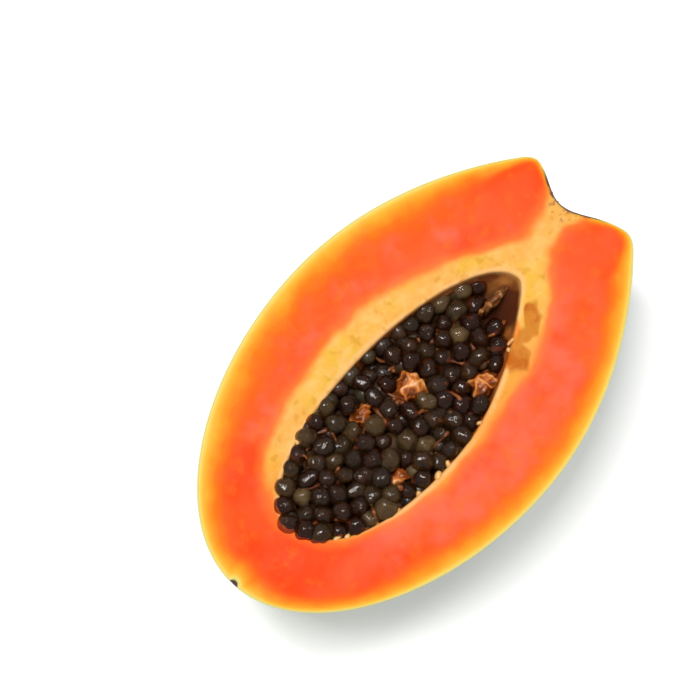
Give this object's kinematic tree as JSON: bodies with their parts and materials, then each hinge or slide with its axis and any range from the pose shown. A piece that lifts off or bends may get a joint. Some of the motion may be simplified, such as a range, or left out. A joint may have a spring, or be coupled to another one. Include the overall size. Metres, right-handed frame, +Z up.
{
  "type": "papaya half",
  "caption": "Papaya cut in half lengthwise, lying on its rind with the cut face up: green skin, orange flesh and a seed-filled cavity.",
  "frame": {"origin": "on the resting surface, under the middle of the half's bounding box", "axes": "+X along the fruit towards its stem end, +Y to the left seen from the blossom end, +Z up out of the cut face"},
  "size_m": [0.1822, 0.1154, 0.0581],
  "materials": {
    "flesh": "moist, freshly cut, from red-orange near the cavity to yellow under the skin",
    "rind": "thin waxy green skin, semi-gloss, with yellow-green and orange-brown patches",
    "placenta": "pale, soft, moist lining of the seed cavity",
    "seed": "near-black seeds in clear olive-brown jelly, wet gloss"
  },
  "bodies": {
    "root": {"papaya_half": "flesh", "seeds": "seed"}
  },
  "joints": []
}
